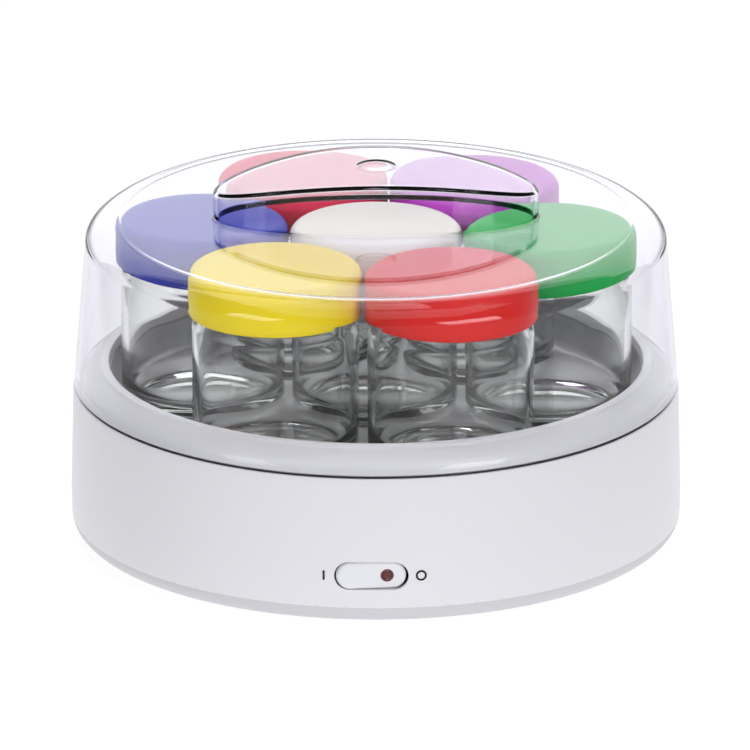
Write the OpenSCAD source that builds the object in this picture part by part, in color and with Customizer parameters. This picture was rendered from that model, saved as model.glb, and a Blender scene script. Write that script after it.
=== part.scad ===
// Yogurt maker: a heated base with a basin, seven capped glass jars and a clear domed cover.
// Millimetres, +Z up, origin on the table under the middle of the base, switch towards -Y.

/* [Base] */
// Widest radius of the base
base_r = 122.5; // [122.3:0.1:124]
// Height of the ledge that the cover stands on
base_h = 62.5; // [62:0.5:66]
// Height of the gap between the bottom plate and the housing
groove_z = 9.7; // [9.5:0.1:11]
// Radius of the rounded bottom edge
edge_r = 7.5; // [6:0.5:8]
// Thickness of the housing wall
wall = 2.4; // [2:0.1:2.6]
// How far the feet stand out below the bottom plate
foot_drop = 1.2; // [1:0.1:2]

/* [Basin] */
// Radius of the opening in the housing's rim
basin_r = 107; // [106.5:0.1:107.5]
// Height of the basin floor that the jars stand on
floor_z = 51.2; // [51:0.1:52]
// Height of the rim above the ledge
rim_h = 9.3; // [9:0.1:10]
// Thickness of the basin's sheet metal
sheet = 1.2; // [0.8:0.1:1.4]

/* [Jars] */
// Distance of the outer jars from the middle jar
ring_r = 69.5; // [69.2:0.1:70]
// Turn of the ring of jars about the middle
ring_turn = -4; // [-30:1:30]
// Radius of a jar's body
jar_r = 33; // [31:0.5:33]
// Height of a jar without its cap
jar_h = 74.2; // [70:0.1:74.4]
// Thickness of the glass
glass = 2.4; // [2:0.1:3]

/* [Caps] */
// Outer radius of a cap
cap_r = 34.4; // [34.2:0.1:34.5]
// Height of a cap
cap_h = 17; // [14:0.5:18]
// Thickness of a cap
cap_wall = 1.6; // [1.2:0.1:1.6]
// Radius of a cap's rounded top edge
cap_edge = 4; // [2:0.5:5]

/* [Cover] */
// Outer radius of the cover at its foot
cover_r = 121.2; // [121:0.1:121.4]
// Height of the cover from its foot to its top edge
cover_h = 68; // [68:0.5:74]
// Thickness of the cover
cover_wall = 2; // [1.6:0.1:2.2]
// Radius of the cover's flat top
top_r = 102.8; // [98:0.2:104]
// Height of the cover's shoulder curve
shoulder_h = 9.5; // [8:0.5:11]

/* [Handle] */
// Length of the raised handle
handle_len = 130; // [110:1:140]
// Width of the raised handle
handle_w = 55; // [45:1:60]
// Height of the handle above the cover's top
handle_h = 21.4; // [18:0.1:26]
// Turn of the handle about the middle
handle_turn = 2; // [-10:1:10]

/* [Switch] */
// Height of the middle of the switch
switch_z = 21.5; // [21:0.5:24]
// Width of the switch opening
switch_w = 29.3; // [29:0.1:30]
// Height of the switch opening
switch_h = 11.4; // [11:0.1:12]
// Tilt of the rocker either side of level
rocker_tilt = 6; // [4:0.5:6]
// Radius of the indicator lens
lens_r = 2.6; // [2:0.1:3]

/* [Cord inlet] */
// Radius of the cable bore
cable_r = 3.35; // [2.5:0.05:3.8]
// Height of the cord inlet
inlet_z = 20; // [18:0.5:24]

/* [Hidden] */
JAR_PLACES = ["center", "right", "back_right", "back_left", "left", "front_left", "front_right"];
JAR_NODES = [for (p = JAR_PLACES) str("jar_", p)];
CAP_NODES = [for (p = JAR_PLACES) str("cap_", p)];
CAP_COLOURS = ["ivory", "seagreen", "mediumpurple", "crimson", "mediumblue", "gold", "red"];
FIXED_NODES = [
    "base_housing", "bottom_plate", "rubber_feet", "housing_screws",
    "basin", "basin_gasket", "basin_clips", "clip_screws",
    "heater_plate", "insulation_pad", "heater_bracket", "heater_nut",
    "thermostat", "thermal_fuse", "fuse_clip",
    "switch_body", "switch_terminals", "indicator_lamp", "rocker_button", "rocker_lens",
    "cord_gland", "terminal_block", "terminal_screws",
    "lead_live", "lead_switched", "lead_fused", "lead_heater", "lead_neutral",
    "cover"
];
$fn = 96;

// Slack that keeps cuts from ending flush with a face
slack = 0.5;
curve_steps = 12;

// Base
plate_z = foot_drop;
groove_gap = 0.6;
housing_z = groove_z + groove_gap / 2;
plate_top_z = groove_z - groove_gap / 2;
wide_z = 20;
foot_r = base_r - 0.2;
ledge_r = base_r - 1.1;
seam_gap = 0.9;
step_r = cover_r - 1;
rim_r = basin_r + 11;
rim_wall = 2.4;
seat_z = base_h + rim_h - 4.2;
inner_r = base_r - wall;
ledge_wall = 2.6;
screw_ring_r = 108;
screw_angles = [30, 150, 210, 330];
boss_r = 4;
boss_top_z = 45;
well_top_z = plate_z + 6.8;
screw_r = 1.5;
screw_len = 18;
screw_head_r = 3;
screw_head_h = 2;
cross_len = 4;
cross_w = 0.8;
cross_depth = 0.9;
well_r = 5.2;
counterbore_r = screw_head_r + 0.5;
counterbore_h = 3.8;
screw_hole_r = screw_r + 0.3;
lip_top_z = 14;
lip_gap = 0.2;
foot_ring_r = 98;
foot_angles = [45, 135, 225, 315];
foot_pad_r = 7;
foot_plug_r = 1.8;
foot_plug_out = 0.8;

// Basin
gasket_h = 0.8;
flange_r = basin_r + 5;
flange_z = seat_z - gasket_h;
basin_mouth_r = basin_r - 0.4;
basin_foot_r = 105;
basin_fillet = 5;
clip_angles = [0, 90, 180, 270];
clip_ring_r = 116;
clip_web_r = 111.4;
clip_t = 1.2;
clip_w = 8;
post_r = 2.6;
post_z = 55;
clip_screw_r = 1.25;

// Heater and its controls
stud_r = 2;
stud_len = 12;
basin_under_z = floor_z - sheet;
heater_t = 1.6;
heater_r = 72;
heater_tab_r = 79.5;
heater_tab_w = 8;
heater_tab_angles = [235, 60];
pad_t = 5;
pad_r = 76;
bracket_t = 1.2;
bracket_w = 14;
bracket_z = basin_under_z - heater_t - pad_t - bracket_t;
nut_h = 3.2;
nut_r = 4.04;
control_ring_r = 90;
thermostat_angle = 120;
thermostat_r = 8;
thermostat_h = 9;
blade_w = 6.3;
blade_t = 0.8;
fuse_angle = 200;
fuse_r = 2;
fuse_len = 12;
strap_t = 0.8;

// Switch
pivot_y = -(base_r - 5);
rocker_face_y = -(base_r - 0.6);
rocker_back_y = pivot_y + 3;
rocker_gap = 0.3;
rocker_len = switch_w - 1.3;
rocker_h = switch_h - 2 * rocker_gap;
pin_r = 1.5;
pin_clearance = 0.05;
pin_half = switch_h / 2 + 3.3;
leg_w = 4;
leg_end_y = pivot_y + 9.5;
lens_x = 5.8;
lens_t = 2;
body_front_y = pivot_y - 0.7;
body_back_y = pivot_y + 16;
body_half_w = 19;
body_half_h = 9.5;
body_wall = 2;
ear_front_y = pivot_y - 2.2;
ear_half_w = 4;
chamber_y = pivot_y + 5.5;
chamber_half_w = 10;
terminal_xs = [-6, 0, 6];
terminal_len = 10;
lamp_r = 2;
lamp_x = 7.5;

// Cord inlet: the flange stands out as far as the rocker does at the front
rocker_reach = -pivot_y + (rocker_len / 2) * sin(rocker_tilt)
    + (pivot_y - rocker_face_y) * cos(rocker_tilt);
gland_shank_r = cable_r + 2.15;
gland_flange_r = gland_shank_r + 2;
gland_collar_y = base_r - 3.2;
gland_inner_y = base_r - 11;
gland_collar_t = 3;
gland_mouth_y = base_r - 3;
gland_mouth_r = cable_r + 1;
notch_gap = 2;

// Terminal block
block_y = 88;
block_size = [22, 12, 12];
block_z = plate_z + wall;
block_screw_x = 5.5;
block_screw_r = 1.9;
block_floor = 3;
block_screw_h = 6;
slot_w = 0.6;
slot_depth = 1;

// Wiring
wire_r = 0.9;
wire_sides = 6;
wire_side = [0.8, 0.15, 0.58];
terminal_end_y = body_back_y + terminal_len;
low_z = plate_z + wall + 2;
block_in_z = block_z + block_size[2] / 2;
block_edge_y = block_y - block_size[1] / 2;
thermostat_xy = control_ring_r * [cos(thermostat_angle), sin(thermostat_angle)];
tab_gap = 4;
tab_len = 7;
tab_root = 1;
tab_run = tab_gap * [-sin(thermostat_angle), cos(thermostat_angle)];
tab_z = basin_under_z - thermostat_h - tab_len;
fuse_xy = control_ring_r * [cos(fuse_angle), sin(fuse_angle)];
fuse_pin_len = 4;
fuse_pin_r = 0.6;
fuse_gap = 0.2;
fuse_run = (fuse_len / 2 + fuse_pin_len) * [-sin(fuse_angle), cos(fuse_angle)];
fuse_z = basin_under_z - fuse_r - fuse_gap;
clip_half_w = 3;
clip_half_len = 8;
clip_wing_gap = 2;
heater_low_z = basin_under_z - heater_t;
heater_tab_xy = [for (a = heater_tab_angles) heater_tab_r * [cos(a), sin(a)]];

// Cover
cover_z = base_h;
cover_top_z = base_h + cover_h;
crown = 0.8;
draft_r = cover_r - 4.8;
handle_sink = 1.5;
handle_tip_r = 10;
handle_arch_r = 215;

// Jars
jar_foot_edge = 5;
jar_base_t = 4;
neck_r = jar_r - 1.4;
neck_z = jar_h - cap_h + cap_wall;
neck_clearance = 0.4;
bead_r = cap_r - cap_wall - neck_clearance;
bead_z = neck_z + 5;
shoulder_len = 5.5;
lip_bevel = 0.6;
jar_in_edge = 4;
cap_in_edge = 1.4;
cap_seat = [0, 0, jar_h + cap_wall - cap_h];

function jar_place(i) = i == 0
    ? [0, 0, floor_z]
    : [ring_r * cos(ring_turn + 60 * (i - 1)), ring_r * sin(ring_turn + 60 * (i - 1)), floor_z];

// Points of a quarter ellipse from the horizontal axis (0 degrees) to the vertical one
function quarter(cx, cz, rx, rz, from = 0, to = 90) = [
    for (k = [0:curve_steps]) let (a = from + (to - from) * k / curve_steps)
        [cx + rx * cos(a), cz + rz * sin(a)]
];

module at_ring(r, angles) {
    for (a = angles) rotate([0, 0, a]) translate([r, 0, 0]) children();
}

// A stadium in the XZ plane, pushed from y0 to y1
module stadium(width, height, y0, y1) {
    translate([0, y1, 0]) rotate([90, 0, 0]) linear_extrude(y1 - y0) {
        square([width - height, height], center = true);
        for (s = [-1, 1]) translate([s * (width - height) / 2, 0]) circle(height / 2);
    }
}

// A round bar along +Y from y0 to y1
module bar_y(r, y0, y1) {
    translate([0, y0, 0]) rotate([-90, 0, 0]) cylinder(h = y1 - y0, r = r);
}

function unit(v) = v / norm(v);

// Cuts the corners of a path once, keeping its two ends
function cut_corners(p) = concat(
    [p[0]],
    [for (k = [0:len(p) - 2]) each [
        if (k > 0) 0.75 * p[k] + 0.25 * p[k + 1],
        if (k < len(p) - 2) 0.25 * p[k] + 0.75 * p[k + 1]
    ]],
    [p[len(p) - 1]]
);

function heading(p, k) = k == 0 ? unit(p[1] - p[0])
    : k == len(p) - 1 ? unit(p[k] - p[k - 1])
    : unit(unit(p[k + 1] - p[k]) + unit(p[k] - p[k - 1]));

// An insulated wire: a polygonal tube swept along a rounded path
module lead(points) {
    path = cut_corners(cut_corners(points));
    last = len(path) - 1;
    rings = [for (k = [0:last])
        let (t = heading(path, k), s = unit(cross(t, wire_side)), u = cross(s, t))
            for (m = [0:wire_sides - 1]) let (a = 360 * m / wire_sides)
                path[k] + wire_r * (cos(a) * s + sin(a) * u)
    ];
    walls = [for (k = [0:last - 1]) for (m = [0:wire_sides - 1])
        let (n = (m + 1) % wire_sides, low = k * wire_sides, high = low + wire_sides)
            each [[low + m, low + n, high + m], [low + n, high + n, high + m]]
    ];
    ends = [
        [for (m = [wire_sides - 1:-1:0]) m],
        [for (m = [0:wire_sides - 1]) last * wire_sides + m]
    ];
    polyhedron(points = rings, faces = concat(walls, ends));
}

// ---- Base ----

module housing_shell() {
    rotate_extrude() polygon(concat(
        [
            [foot_r, housing_z], [base_r, wide_z], [ledge_r, base_h - seam_gap],
            [step_r, base_h - seam_gap], [step_r, base_h]
        ],
        quarter(basin_r, base_h, rim_r - basin_r, rim_h),
        [
            [basin_r, seat_z], [flange_r + 0.8, seat_z],
            [rim_r - rim_wall, base_h], [rim_r - rim_wall, base_h - ledge_wall],
            [ledge_r - wall, base_h - ledge_wall], [inner_r, wide_z],
            [foot_r - wall, housing_z]
        ]
    ));
}

module housing_boss() {
    translate([0, 0, well_top_z]) cylinder(h = boss_top_z - well_top_z, r = boss_r);
    translate([0, -1, lip_top_z + 1]) cube([inner_r - screw_ring_r, 2, boss_top_z - lip_top_z - 1]);
}

module base_housing() {
    color("whitesmoke") difference() {
        union() {
            housing_shell();
            intersection() {
                at_ring(screw_ring_r, screw_angles) housing_boss();
                cylinder(h = base_h, r = inner_r - 0.2);
            }
            at_ring(clip_ring_r, clip_angles)
                translate([0, 0, post_z]) cylinder(h = base_h - 1 - post_z, r = post_r);
        }
        translate([0, 0, switch_z])
            stadium(switch_w, switch_h, -base_r - slack, pivot_y);
        translate([0, 0, inlet_z]) bar_y(gland_shank_r, inner_r - 5, base_r + slack);
        at_ring(screw_ring_r, screw_angles)
            translate([0, 0, well_top_z - slack]) cylinder(h = 16, r = screw_r);
        at_ring(clip_ring_r, clip_angles)
            translate([0, 0, post_z - slack]) cylinder(h = 5, r = clip_screw_r);
    }
}

module plate_section() {
    outer_r = foot_r;
    difference() {
        union() {
            translate([0, plate_z]) square([outer_r - edge_r, plate_top_z - plate_z]);
            translate([outer_r - edge_r, plate_z + edge_r]) circle(edge_r);
            translate([0, plate_z + edge_r]) square([outer_r, plate_top_z - plate_z - edge_r]);
        }
        translate([0, plate_z + wall]) square([outer_r - edge_r, base_h]);
        translate([outer_r - edge_r, plate_z + edge_r]) circle(edge_r - wall);
        translate([0, plate_z + edge_r]) square([outer_r - wall, base_h]);
        translate([-base_r, 0]) square([base_r, base_h]);
        translate([0, plate_top_z]) square([base_r, base_h]);
    }
    translate([outer_r - 2 * wall - lip_gap, plate_z + edge_r])
        square([wall, lip_top_z - plate_z - edge_r]);
    translate([outer_r - 2 * wall - lip_gap, plate_z + edge_r])
        square([wall + 1, plate_top_z - plate_z - edge_r]);
}

// Clears the lip where the switch and the inlet bushing reach down behind it
module lip_notch(half_w, y0, y1) {
    translate([-half_w, y0, plate_top_z]) cube([2 * half_w, y1 - y0, lip_top_z]);
}

module bottom_plate() {
    color("gainsboro") difference() {
        union() {
            rotate_extrude() plate_section();
            at_ring(screw_ring_r, screw_angles)
                translate([0, 0, plate_z]) cylinder(h = well_top_z - plate_z, r = well_r);
        }
        at_ring(screw_ring_r, screw_angles) {
            translate([0, 0, plate_z - slack])
                cylinder(h = counterbore_h + slack, r = counterbore_r);
            translate([0, 0, plate_z]) cylinder(h = well_top_z, r = screw_hole_r);
        }
        at_ring(foot_ring_r, foot_angles)
            translate([0, 0, plate_z - slack]) cylinder(h = wall + 2 * slack, r = foot_plug_r);
        lip_notch(body_half_w + notch_gap, -base_r, body_back_y);
        lip_notch(gland_flange_r + notch_gap, gland_inner_y, base_r);
    }
}

module rubber_feet() {
    color("dimgray") at_ring(foot_ring_r, foot_angles) {
        cylinder(h = plate_z, r = foot_pad_r);
        cylinder(h = plate_z + wall + foot_plug_out, r = foot_plug_r);
    }
}

module housing_screws() {
    head_z = plate_z + counterbore_h - screw_head_h;
    color("silver") at_ring(screw_ring_r, screw_angles) difference() {
        union() {
            translate([0, 0, head_z]) cylinder(h = screw_head_h, r = screw_head_r);
            translate([0, 0, head_z]) cylinder(h = screw_len, r = screw_r);
        }
        for (a = [0, 90]) rotate([0, 0, a])
            translate([-cross_len / 2, -cross_w / 2, head_z - slack])
                cube([cross_len, cross_w, cross_depth + slack]);
    }
}

// ---- Basin ----

module basin() {
    inner_c = [basin_foot_r - basin_fillet, floor_z + basin_fillet];
    color("darkgray") {
        rotate_extrude() polygon(concat(
            [[0, floor_z]],
            quarter(inner_c[0], inner_c[1], basin_fillet, basin_fillet, -90, 0),
            [
                [basin_mouth_r, flange_z], [flange_r, flange_z],
                [flange_r, flange_z - sheet], [basin_mouth_r + sheet, flange_z - sheet]
            ],
            quarter(inner_c[0], inner_c[1], basin_fillet + sheet, basin_fillet + sheet, 0, -90),
            [[0, basin_under_z]]
        ));
        translate([0, 0, basin_under_z - stud_len]) cylinder(h = stud_len + sheet / 2, r = stud_r);
    }
}

module basin_gasket() {
    color("lightgray") translate([0, 0, flange_z]) difference() {
        cylinder(h = gasket_h, r = flange_r);
        translate([0, 0, -slack]) cylinder(h = gasket_h + 2 * slack, r = basin_r + 1);
    }
}

module basin_clips() {
    tab_z = post_z - clip_t;
    color("silver") at_ring(0, clip_angles) difference() {
        union() {
            translate([clip_web_r - clip_t / 2, -clip_w / 2, tab_z])
                cube([clip_ring_r + post_r - clip_web_r, clip_w, clip_t]);
            translate([clip_web_r - clip_t / 2, -clip_w / 2, tab_z])
                cube([clip_t, clip_w, flange_z - sheet - tab_z]);
        }
        translate([clip_ring_r, 0, tab_z - slack]) cylinder(h = clip_t + 2 * slack, r = 1.4);
    }
}

module clip_screws() {
    head_z = post_z - clip_t - 1.8;
    color("gray") at_ring(clip_ring_r, clip_angles) {
        translate([0, 0, head_z]) cylinder(h = 1.8, r = 2.5);
        translate([0, 0, head_z]) cylinder(h = 6.4, r = clip_screw_r);
    }
}

// ---- Heater and its controls ----

module ring_disc(z, h, r_out, r_in) {
    translate([0, 0, z]) difference() {
        cylinder(h = h, r = r_out);
        translate([0, 0, -slack]) cylinder(h = h + 2 * slack, r = r_in);
    }
}

module heater_plate() {
    color("sandybrown") {
        ring_disc(heater_low_z, heater_t, heater_r, 12);
        for (a = heater_tab_angles) rotate([0, 0, a])
            translate([heater_r - 2, -heater_tab_w / 2, heater_low_z])
                cube([heater_tab_r + 4 - heater_r, heater_tab_w, heater_t]);
    }
}

module insulation_pad() {
    color("beige") ring_disc(basin_under_z - heater_t - pad_t, pad_t, pad_r, 10);
}

module heater_bracket() {
    color("silver") translate([0, 0, bracket_z]) difference() {
        for (a = [45, 135]) rotate([0, 0, a])
            translate([-heater_r, -bracket_w / 2, 0]) cube([2 * heater_r, bracket_w, bracket_t]);
        translate([0, 0, -slack]) cylinder(h = bracket_t + 2 * slack, r = stud_r + 0.3);
    }
}

module heater_nut() {
    color("gray") translate([0, 0, bracket_z - nut_h]) difference() {
        cylinder(h = nut_h, r = nut_r, $fn = 6);
        translate([0, 0, -slack]) cylinder(h = nut_h + 2 * slack, r = stud_r);
    }
}

module thermostat() {
    can_z = basin_under_z - thermostat_h;
    color("saddlebrown") rotate([0, 0, thermostat_angle]) translate([control_ring_r, 0, 0]) {
        translate([0, 0, can_z]) cylinder(h = thermostat_h, r = thermostat_r);
        for (s = [-1, 1]) translate([-blade_w / 2, s * tab_gap - blade_t / 2, can_z - tab_len])
            cube([blade_w, blade_t, tab_len + tab_root]);
    }
}

module fuse_place() {
    rotate([0, 0, fuse_angle]) translate([control_ring_r, 0, fuse_z])
        children();
}

module thermal_fuse() {
    color("lightsteelblue") fuse_place() {
        bar_y(fuse_r, -fuse_len / 2, fuse_len / 2);
        bar_y(fuse_pin_r, -fuse_len / 2 - fuse_pin_len, fuse_len / 2 + fuse_pin_len);
    }
}

module fuse_clip() {
    top_z = fuse_r + fuse_gap;
    cut_w = clip_half_w + slack;
    color("silver") fuse_place() difference() {
        union() {
            bar_y(fuse_r + strap_t, -clip_half_w, clip_half_w);
            translate([-clip_half_len, -clip_half_w, top_z - strap_t])
                cube([2 * clip_half_len, 2 * clip_half_w, strap_t]);
        }
        bar_y(fuse_r, -cut_w, cut_w);
        translate([-fuse_r, -cut_w, 0]) cube([2 * fuse_r, 2 * cut_w, 2 * top_z]);
        translate([-fuse_r - clip_wing_gap, -cut_w, top_z])
            cube([2 * (fuse_r + clip_wing_gap), 2 * cut_w, top_z]);
    }
}

// ---- Switch ----

module rocker_pose() {
    translate([0, pivot_y, switch_z]) rotate([0, 0, rocker_tilt])
        translate([0, -pivot_y, 0]) children();
}

module rocker_button() {
    color("white") rocker_pose() difference() {
        union() {
            stadium(rocker_len, rocker_h, rocker_face_y, rocker_back_y);
            translate([0, pivot_y, -pin_half]) cylinder(h = 2 * pin_half, r = pin_r);
            translate([-leg_w / 2, rocker_back_y - slack, -3])
                cube([leg_w, leg_end_y - rocker_back_y + slack, 6]);
        }
        translate([lens_x, 0, 0]) {
            bar_y(lens_r, rocker_face_y - slack, rocker_face_y + lens_t);
            bar_y(lens_r - 0.6, rocker_face_y, rocker_back_y + slack);
        }
    }
}

module rocker_lens() {
    color("firebrick") rocker_pose() translate([lens_x, 0, 0]) {
        bar_y(lens_r, rocker_face_y + 0.1, rocker_face_y + lens_t);
        bar_y(lens_r - 0.6, rocker_face_y + 0.1, rocker_face_y + lens_t + 2);
    }
}

module switch_body() {
    color("dimgray") translate([0, 0, switch_z]) difference() {
        union() {
            translate([-body_half_w, body_front_y, -body_half_h])
                cube([2 * body_half_w, body_back_y - body_front_y, 2 * body_half_h]);
            translate([-ear_half_w, ear_front_y, -body_half_h])
                cube([2 * ear_half_w, chamber_y - ear_front_y, 2 * body_half_h]);
        }
        translate([-body_half_w + body_wall, ear_front_y - slack, -rocker_h / 2 - 0.5])
            cube([2 * (body_half_w - body_wall), chamber_y - ear_front_y + slack, rocker_h + 1]);
        translate([-chamber_half_w, chamber_y - slack, -rocker_h / 2 - 0.5])
            cube([2 * chamber_half_w, body_back_y - body_wall - chamber_y + slack, rocker_h + 1]);
        translate([0, pivot_y, -body_half_h - slack])
            cylinder(h = 2 * body_half_h + 2 * slack, r = pin_r + pin_clearance);
        for (x = terminal_xs) translate([x - blade_t / 2, chamber_y, -blade_w / 2])
            cube([blade_t, body_back_y - chamber_y + slack, blade_w]);
    }
}

module switch_terminals() {
    color("goldenrod") for (x = terminal_xs)
        translate([x - blade_t / 2, body_back_y - body_wall - 0.8, switch_z - blade_w / 2])
            cube([blade_t, body_wall + 0.8 + terminal_len, blade_w]);
}

module indicator_lamp() {
    color("orange") translate([lamp_x, 0, switch_z]) {
        bar_y(lamp_r, chamber_y + 0.5, body_back_y - body_wall - 1.5);
        bar_y(0.5, chamber_y + 4, body_back_y - body_wall);
    }
}

// ---- Cord inlet and wiring ----

module cord_gland() {
    color("dimgray") translate([0, 0, inlet_z]) difference() {
        union() {
            bar_y(gland_flange_r, base_r, rocker_reach);
            bar_y(gland_shank_r, gland_inner_y, base_r);
            bar_y(gland_flange_r, gland_collar_y - gland_collar_t, gland_collar_y);
        }
        bar_y(cable_r, gland_inner_y - slack, rocker_reach + slack);
        bar_y(gland_mouth_r, gland_mouth_y, rocker_reach + slack);
    }
}

module terminal_block() {
    color("ivory") translate([0, block_y, block_z]) difference() {
        translate([-block_size[0] / 2, -block_size[1] / 2, 0]) cube(block_size);
        for (s = [-1, 1]) translate([s * block_screw_x, 0, block_floor])
            cylinder(h = block_size[2], r = block_screw_r);
    }
}

module terminal_screws() {
    color("goldenrod") for (s = [-1, 1])
        translate([s * block_screw_x, block_y, block_z + block_floor]) difference() {
            cylinder(h = block_screw_h, r = block_screw_r);
            translate([-block_screw_r - slack, -slot_w / 2, block_screw_h - slot_depth])
                cube([2 * (block_screw_r + slack), slot_w, slot_depth + slack]);
        }
}

module lead_live() {
    color("sienna") lead([
        [-block_screw_x, block_edge_y, block_in_z], [-block_screw_x, block_edge_y - 6, block_in_z],
        [-block_screw_x, 60, low_z], [-30, 0, low_z], [-20, -70, low_z],
        [terminal_xs[0], terminal_end_y + 12, switch_z], [terminal_xs[0], terminal_end_y, switch_z]
    ]);
}

module lead_switched() {
    tab_xy = thermostat_xy - tab_run;
    color("black") lead([
        [0, terminal_end_y, switch_z], [0, terminal_end_y + 14, switch_z],
        [-52, -30, 14], [-60, 40, 20], concat(tab_xy, tab_z - 8), concat(tab_xy, tab_z)
    ]);
}

module lead_fused() {
    tab_xy = thermostat_xy + tab_run;
    color("black") lead([
        concat(tab_xy, tab_z), concat(tab_xy, tab_z - 6), [-84, 36, 24],
        concat(fuse_xy - 1.6 * fuse_run, fuse_z - 10),
        concat(fuse_xy - 1.3 * fuse_run, fuse_z), concat(fuse_xy - fuse_run, fuse_z)
    ]);
}

module lead_heater() {
    color("black") lead([
        concat(fuse_xy + fuse_run, fuse_z), concat(fuse_xy + 1.3 * fuse_run, fuse_z),
        [-74, -54, 38], concat(heater_tab_xy[0], 38), concat(heater_tab_xy[0], heater_low_z)
    ]);
}

module lead_neutral() {
    color("royalblue") lead([
        [block_screw_x, block_edge_y, block_in_z], [block_screw_x, block_edge_y - 6, block_in_z],
        concat(heater_tab_xy[1], 20), concat(heater_tab_xy[1], heater_low_z)
    ]);
}

// ---- Cover ----

module cover_section() {
    top_in_z = cover_top_z - cover_wall;
    shoulder_z = cover_top_z - shoulder_h;
    polygon(concat(
        [[cover_r, cover_z]],
        quarter(top_r, shoulder_z, draft_r - top_r, shoulder_h),
        [[0, cover_top_z + crown], [0, top_in_z + crown]],
        quarter(top_r, shoulder_z, draft_r - top_r - cover_wall, shoulder_h - cover_wall, 90, 0),
        [[cover_r - cover_wall, cover_z]]
    ));
}

// Plan of the handle: two long arcs that run into small round tips
module handle_plan(half_len, half_w, tip_r) {
    side_r = (pow(half_len - tip_r, 2) + half_w * half_w - tip_r * tip_r) / (2 * (half_w - tip_r));
    touch_x = (half_len - tip_r) * side_r / (side_r - tip_r);
    intersection() {
        side_disc(side_r, half_w, 1);
        side_disc(side_r, half_w, -1);
        square([2 * touch_x, 2 * half_w], center = true);
    }
    for (s = [-1, 1]) translate([s * (half_len - tip_r), 0]) circle(tip_r);
}

module side_disc(side_r, half_w, s) {
    translate([0, s * (side_r - half_w)]) circle(side_r, $fn = 240);
}

module handle_block(inset, low_z) {
    top_z = cover_top_z + handle_h - inset;
    arch_r = handle_arch_r - inset;
    rotate([0, 0, handle_turn]) intersection() {
        translate([0, 0, low_z]) linear_extrude(top_z - low_z)
            handle_plan(handle_len / 2 - inset, handle_w / 2 - inset, handle_tip_r - inset);
        translate([0, -handle_w, top_z - arch_r]) rotate([-90, 0, 0])
            cylinder(h = 2 * handle_w, r = arch_r, $fn = 240);
    }
}

module cover() {
    color("lavender", 0.35) difference() {
        union() {
            rotate_extrude() cover_section();
            handle_block(0, cover_top_z - handle_sink);
        }
        handle_block(cover_wall, cover_top_z - 4 * cover_wall);
    }
}

// ---- Jars and caps ----

module jar_section() {
    in_r = neck_r - glass;
    shoulder_z = neck_z - shoulder_len;
    polygon(concat(
        [[0, 0]],
        quarter(jar_r - jar_foot_edge, jar_foot_edge, jar_foot_edge, jar_foot_edge, -90, 0),
        [
            [jar_r, shoulder_z], [neck_r, neck_z], [neck_r, bead_z],
            [bead_r, bead_z + 0.8], [bead_r, bead_z + 2], [neck_r, bead_z + 2.8],
            [neck_r, jar_h - lip_bevel], [neck_r - lip_bevel, jar_h], [in_r, jar_h],
            [in_r, neck_z], [jar_r - glass, shoulder_z]
        ],
        quarter(jar_r - glass - jar_in_edge, jar_base_t + jar_in_edge, jar_in_edge, jar_in_edge, 0, -90),
        [[0, jar_base_t]]
    ));
}

module jar() {
    color("lightcyan", 0.5) rotate_extrude() jar_section();
}

// A solid of revolution's half-section: a disc with a rounded top edge
module round_top(r, h, edge) {
    square([r, h - edge]);
    square([r - edge, h]);
    translate([r - edge, h - edge]) circle(edge);
}

module cap(colour) {
    color(colour) rotate_extrude() difference() {
        round_top(cap_r, cap_h, cap_edge);
        translate([0, -slack])
            round_top(cap_r - cap_wall, cap_h - cap_wall + slack, cap_in_edge);
    }
}

base_housing();
bottom_plate();
rubber_feet();
housing_screws();
basin();
basin_gasket();
basin_clips();
clip_screws();
heater_plate();
insulation_pad();
heater_bracket();
heater_nut();
thermostat();
thermal_fuse();
fuse_clip();
switch_body();
switch_terminals();
indicator_lamp();
rocker_button();
rocker_lens();
cord_gland();
terminal_block();
terminal_screws();
lead_live();
lead_switched();
lead_fused();
lead_heater();
lead_neutral();
cover();
for (i = [0:len(JAR_NODES) - 1])
    translate(jar_place(i)) jar();
for (i = [0:len(CAP_NODES) - 1])
    translate(jar_place(i) + cap_seat) cap(CAP_COLOURS[i]);
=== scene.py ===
"""Looks for the yogurt maker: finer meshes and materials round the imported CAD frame.
Metres, +Z up, origin on the table under the middle of the base, switch towards -Y."""

import math

import bpy
import bmesh
from mathutils import Matrix, Vector


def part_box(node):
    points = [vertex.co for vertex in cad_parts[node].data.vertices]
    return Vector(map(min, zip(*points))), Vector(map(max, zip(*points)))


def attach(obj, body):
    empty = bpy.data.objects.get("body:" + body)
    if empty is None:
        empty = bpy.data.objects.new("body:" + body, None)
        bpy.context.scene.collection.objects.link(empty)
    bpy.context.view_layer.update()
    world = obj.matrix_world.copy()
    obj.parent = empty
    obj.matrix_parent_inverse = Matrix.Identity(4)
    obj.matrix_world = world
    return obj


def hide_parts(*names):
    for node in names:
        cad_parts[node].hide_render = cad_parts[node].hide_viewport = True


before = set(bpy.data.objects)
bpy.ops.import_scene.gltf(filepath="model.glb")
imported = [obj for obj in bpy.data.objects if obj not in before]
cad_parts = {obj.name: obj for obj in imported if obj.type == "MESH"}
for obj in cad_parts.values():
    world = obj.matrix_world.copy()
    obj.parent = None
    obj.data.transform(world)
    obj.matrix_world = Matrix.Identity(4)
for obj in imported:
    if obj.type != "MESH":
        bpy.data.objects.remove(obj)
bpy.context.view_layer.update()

MM = 0.001
PLACES = ["center", "right", "back_right", "back_left", "left", "front_left", "front_right"]
COLUMNS = 192

# ---------------------------------------------------------------- mesh helpers


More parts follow.
